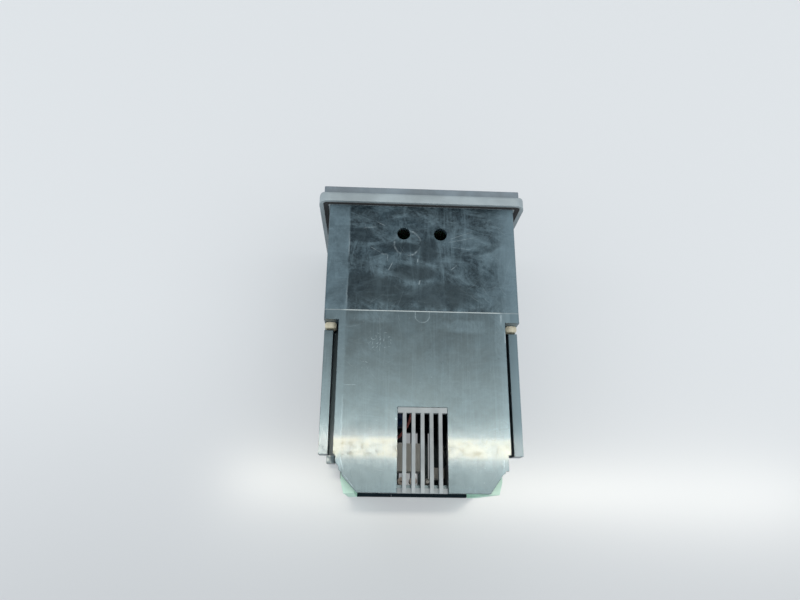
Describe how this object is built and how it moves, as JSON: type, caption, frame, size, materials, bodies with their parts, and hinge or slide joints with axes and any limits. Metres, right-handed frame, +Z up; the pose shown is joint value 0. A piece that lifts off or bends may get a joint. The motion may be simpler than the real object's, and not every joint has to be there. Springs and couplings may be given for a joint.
{
  "type": "panel-mount electronic controller",
  "caption": "Flanged plastic instrument case for a panel cut-out, with front keys and display, vented rear, clamp rails and plug-in terminal blocks.",
  "frame": {"origin": "under the middle of the whole object, at the height of the flange's bottom edge", "axes": "+Z up, the display and keys face -Y, the terminals face +Y, +X is to the right as seen from the front"},
  "size_m": [0.096, 0.1366, 0.078],
  "materials": {
    "case_black": "scuffed semi-gloss moulded ABS",
    "bezel_grey": "fine satin moulded ABS",
    "frame_black": "satin moulded ABS",
    "fascia_dark": "fine matt film",
    "window_red": "clear tinted acrylic",
    "key_grey": "satin",
    "black_plastic": "satin",
    "gasket_rubber": "matt",
    "nylon_cream": "waxy nylon",
    "board_green": "solder-masked fibreglass board",
    "steel": "zinc-plated",
    "switch_grey": "satin",
    "led_face": "matt",
    "led_red": "clear tinted epoxy",
    "trimmer_dark": "satin",
    "rotor_grey": "satin",
    "core_iron": "varnished laminations",
    "coil_tape": "wound tape",
    "lead_red": "PVC insulation",
    "fuse_glass": "clear glass",
    "capacitor_sleeve": "shrink sleeve",
    "film_grey": "moulded box",
    "resistor_tan": "lacquer",
    "ceramic_white": "glazed ceramic",
    "varistor_blue": "epoxy dip",
    "chip_black": "moulded epoxy",
    "heat_sink_aluminium": "extruded",
    "terminal_green": "pale green polyamide"
  },
  "bodies": {
    "case": {"front_bezel": "bezel_grey", "front_frame": "frame_black", "fascia_panel": "fascia_dark", "display_window": "window_red", "key_switches": "switch_grey", "panel_gasket": "gasket_rubber", "front_case": "case_black", "rear_case": "case_black", "rear_panel": "case_black", "vent_grille_top": "case_black", "vent_grille_bottom": "case_black", "lock_pegs_top": "nylon_cream", "lock_pegs_bottom": "nylon_cream", "display_board": "board_green", "board_screws": "steel", "led_digits_upper": "led_face", "led_digits_lower": "led_face", "status_leds": "led_red", "trimmer_board": "board_green", "trimmer_body_left": "trimmer_dark", "trimmer_body_right": "trimmer_dark", "main_board": "board_green", "power_board": "board_green", "board_links": "black_plastic", "transformer_core": "core_iron", "transformer_bobbin": "black_plastic", "transformer_coil": "coil_tape", "transformer_leads": "lead_red", "relays": "black_plastic", "fuse": "fuse_glass", "fuse_clips": "steel", "electrolytic_caps": "capacitor_sleeve", "film_caps": "film_grey", "resistors": "resistor_tan", "thermal_fuse": "ceramic_white", "varistor": "varistor_blue", "controller_chip": "chip_black", "chip_socket": "black_plastic", "heat_sink": "heat_sink_aluminium", "terminal_header_left": "terminal_green", "terminal_header_right": "terminal_green", "header_pins_left": "steel", "header_pins_right": "steel"},
    "key_button_1": {"key_1": "key_grey", "key_plunger_1": "black_plastic"},
    "key_button_2": {"key_2": "key_grey", "key_plunger_2": "black_plastic"},
    "key_button_3": {"key_3": "key_grey", "key_plunger_3": "black_plastic"},
    "key_button_4": {"key_4": "key_grey", "key_plunger_4": "black_plastic"},
    "adjuster_left": {"trimmer_rotor_left": "rotor_grey"},
    "plug_left": {"terminal_plug_left": "terminal_green", "terminal_screws_left": "steel", "wire_clamps_left": "steel"},
    "adjuster_right": {"trimmer_rotor_right": "rotor_grey"},
    "plug_right": {"terminal_plug_right": "terminal_green", "terminal_screws_right": "steel", "wire_clamps_right": "steel"}
  },
  "joints": [
    {"name": "key_1_press", "type": "slide", "parent": "case", "child": "key_button_1", "axis": [0, 1, 0], "range_m": [0, 0.0008], "stiffness_N_per_m": 1500},
    {"name": "key_2_press", "type": "slide", "parent": "case", "child": "key_button_2", "axis": [0, 1, 0], "range_m": [0, 0.0008], "stiffness_N_per_m": 1500},
    {"name": "key_3_press", "type": "slide", "parent": "case", "child": "key_button_3", "axis": [0, 1, 0], "range_m": [0, 0.0008], "stiffness_N_per_m": 1500},
    {"name": "key_4_press", "type": "slide", "parent": "case", "child": "key_button_4", "axis": [0, 1, 0], "range_m": [0, 0.0008], "stiffness_N_per_m": 1500},
    {"name": "adjuster_left_turn", "type": "hinge", "parent": "case", "child": "adjuster_left", "pos_m": [0.00845, -0.04585, 0.049], "axis": [0, 0, 1], "range_deg": [-135, 135]},
    {"name": "adjuster_right_turn", "type": "hinge", "parent": "case", "child": "adjuster_right", "pos_m": [-0.00845, -0.04585, 0.049], "axis": [0, 0, 1], "range_deg": [-135, 135]},
    {"name": "plug_left_pull", "type": "slide", "parent": "case", "child": "plug_left", "axis": [0, 1, 0], "range_m": [0, 0.014]},
    {"name": "plug_right_pull", "type": "slide", "parent": "case", "child": "plug_right", "axis": [0, 1, 0], "range_m": [0, 0.014]}
  ]
}
